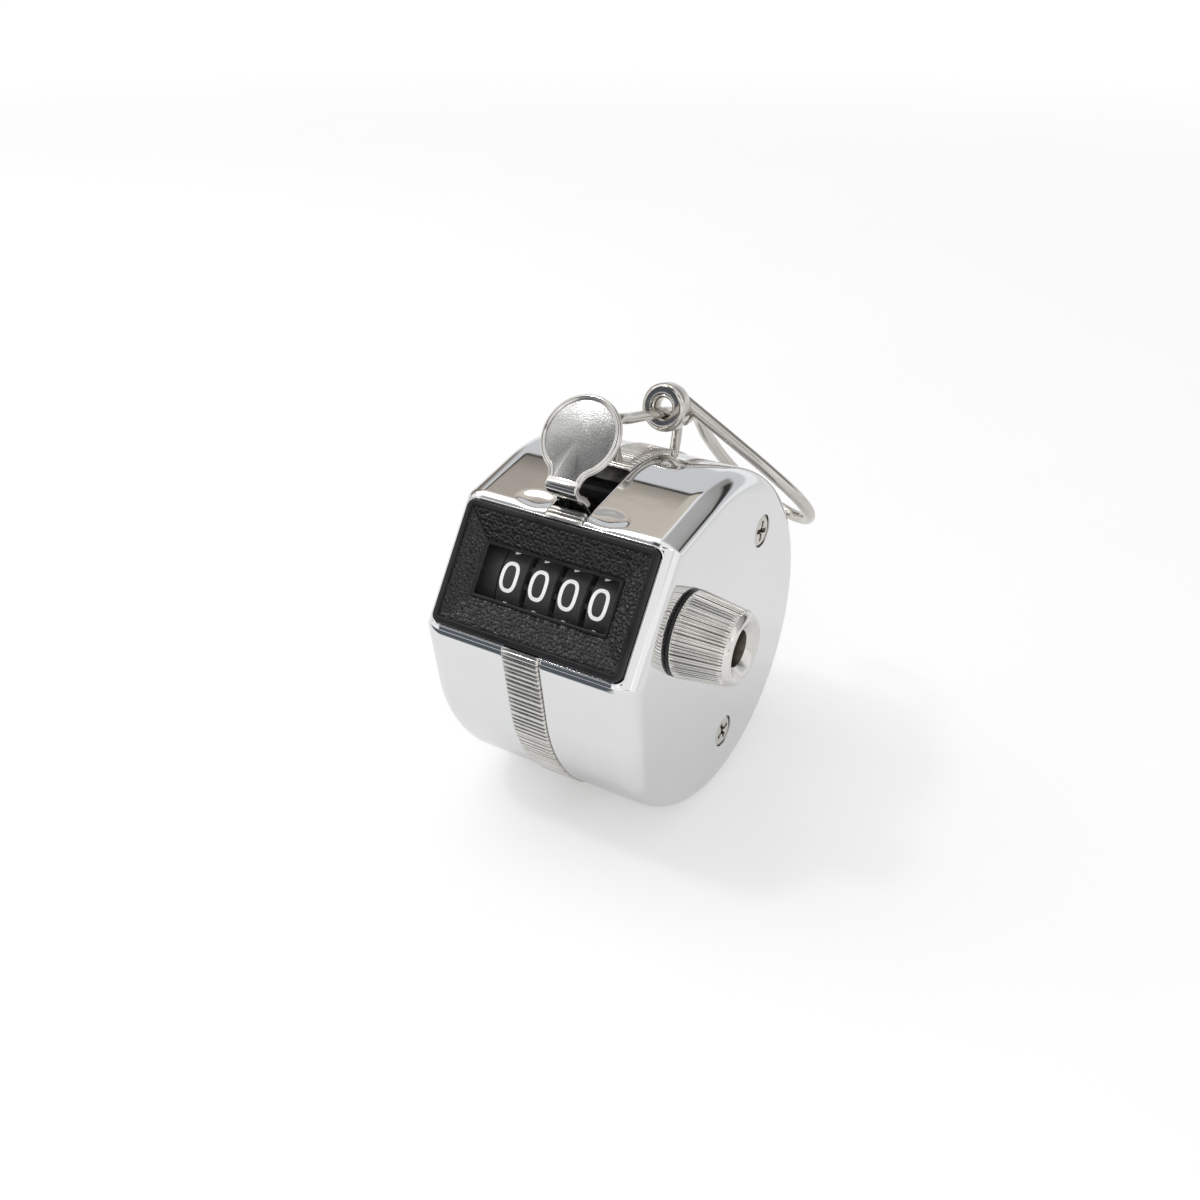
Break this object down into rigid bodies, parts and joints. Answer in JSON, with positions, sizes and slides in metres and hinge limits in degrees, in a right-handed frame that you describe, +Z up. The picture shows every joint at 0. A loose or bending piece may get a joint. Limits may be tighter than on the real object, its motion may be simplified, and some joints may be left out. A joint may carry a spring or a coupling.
{
  "type": "tally counter",
  "caption": "Hand tally counter: round chromed case with a ribbed centre band, windowed black bezel over number wheels, thumb lever, knurled reset knob and a finger ring on a wire hoop.",
  "frame": {"origin": "middle of the left cover's flat side face, on the axis of the case's round back", "axes": "+X along the wheel axle from the left face to the reset knob, +Z up, the window faces -Y and is tilted 35.2 degrees upwards"},
  "size_m": [0.0381, 0.0539, 0.0556],
  "materials": {
    "chromed_steel": "mirror chrome",
    "nickel": "bright nickel plate",
    "steel": "plain zinc-grey steel",
    "bezel_black": "leather-grained black",
    "wheel_black": "satin black with white digits",
    "clear": "clear window",
    "brass": "cut brass"
  },
  "bodies": {
    "case": {"left_cover": "chromed_steel", "right_cover": "chromed_steel", "centre_frame": "nickel", "bezel": "bezel_black", "window_lens": "clear", "left_plate": "steel", "right_plate": "steel", "upper_post": "steel", "lower_post": "steel", "right_screw_upper": "nickel", "left_screw_upper": "nickel", "right_screw_lower": "nickel", "left_screw_lower": "nickel", "pinion_shaft": "steel", "detent_spring": "steel", "ring_hoop": "nickel", "lever_return_spring": "steel", "left_spacer": "wheel_black"},
    "lever": {"thumb_lever": "nickel", "lever_shaft": "steel", "drive_arm": "steel"},
    "pawl": {"drive_pawl": "steel", "pawl_pin": "steel"},
    "axle": {"wheel_axle": "steel", "reset_knob": "nickel"},
    "ring": {"finger_ring": "nickel"},
    "thousands": {"thousands_wheel": "wheel_black"},
    "hundreds": {"hundreds_wheel": "wheel_black"},
    "tens": {"tens_wheel": "wheel_black"},
    "units": {"units_wheel": "wheel_black", "ratchet_wheel": "steel"},
    "thousands_carry": {"thousands_pinion": "brass"},
    "hundreds_carry": {"hundreds_pinion": "brass"},
    "tens_carry": {"tens_pinion": "brass"}
  },
  "joints": [
    {"name": "lever_press", "type": "hinge", "parent": "case", "child": "lever", "pos_m": [0.0152, -0.00998, 0.01708], "axis": [-1, 0, 0], "range_deg": [0, 20], "stiffness_Nm_per_rad": 0.05, "springref_deg": -8.59},
    {"name": "pawl_swing", "type": "hinge", "parent": "lever", "child": "pawl", "pos_m": [0.0152, -0.00517, 0.01511], "axis": [-1, 0, 0], "range_deg": [0, 12], "stiffness_Nm_per_rad": 0.0005, "springref_deg": -5.73},
    {"name": "reset_turn", "type": "hinge", "parent": "case", "child": "axle", "pos_m": [0.0152, -0.01062, 0.00749], "axis": [1, 0, 0], "continuous": true},
    {"name": "units_turn", "type": "hinge", "parent": "case", "child": "units", "pos_m": [0.0152, -0.01062, 0.00749], "axis": [1, 0, 0], "continuous": true},
    {"name": "tens_turn", "type": "hinge", "parent": "case", "child": "tens", "pos_m": [0.0152, -0.01062, 0.00749], "axis": [1, 0, 0], "continuous": true},
    {"name": "tens_carry_turn", "type": "hinge", "parent": "case", "child": "tens_carry", "pos_m": [0.0152, -0.00818, -0.00174], "axis": [1, 0, 0], "continuous": true},
    {"name": "hundreds_turn", "type": "hinge", "parent": "case", "child": "hundreds", "pos_m": [0.0152, -0.01062, 0.00749], "axis": [1, 0, 0], "continuous": true},
    {"name": "hundreds_carry_turn", "type": "hinge", "parent": "case", "child": "hundreds_carry", "pos_m": [0.0152, -0.00818, -0.00174], "axis": [1, 0, 0], "continuous": true},
    {"name": "thousands_turn", "type": "hinge", "parent": "case", "child": "thousands", "pos_m": [0.0152, -0.01062, 0.00749], "axis": [1, 0, 0], "continuous": true},
    {"name": "thousands_carry_turn", "type": "hinge", "parent": "case", "child": "thousands_carry", "pos_m": [0.0152, -0.00818, -0.00174], "axis": [1, 0, 0], "continuous": true},
    {"name": "ring_swing", "type": "hinge", "parent": "case", "child": "ring", "pos_m": [0.0146, 0.0119, 0.02458], "axis": [0, -0.9718, 0.2359], "range_deg": [0, 90]}
  ],
  "couplings": [
    {"joint": "tens_turn", "follows": "units_turn", "ratio": 0.1},
    {"joint": "tens_carry_turn", "follows": "units_turn", "ratio": -0.25},
    {"joint": "hundreds_turn", "follows": "units_turn", "ratio": 0.01},
    {"joint": "hundreds_carry_turn", "follows": "units_turn", "ratio": -0.025},
    {"joint": "thousands_turn", "follows": "units_turn", "ratio": 0.001},
    {"joint": "thousands_carry_turn", "follows": "units_turn", "ratio": -0.0025}
  ]
}
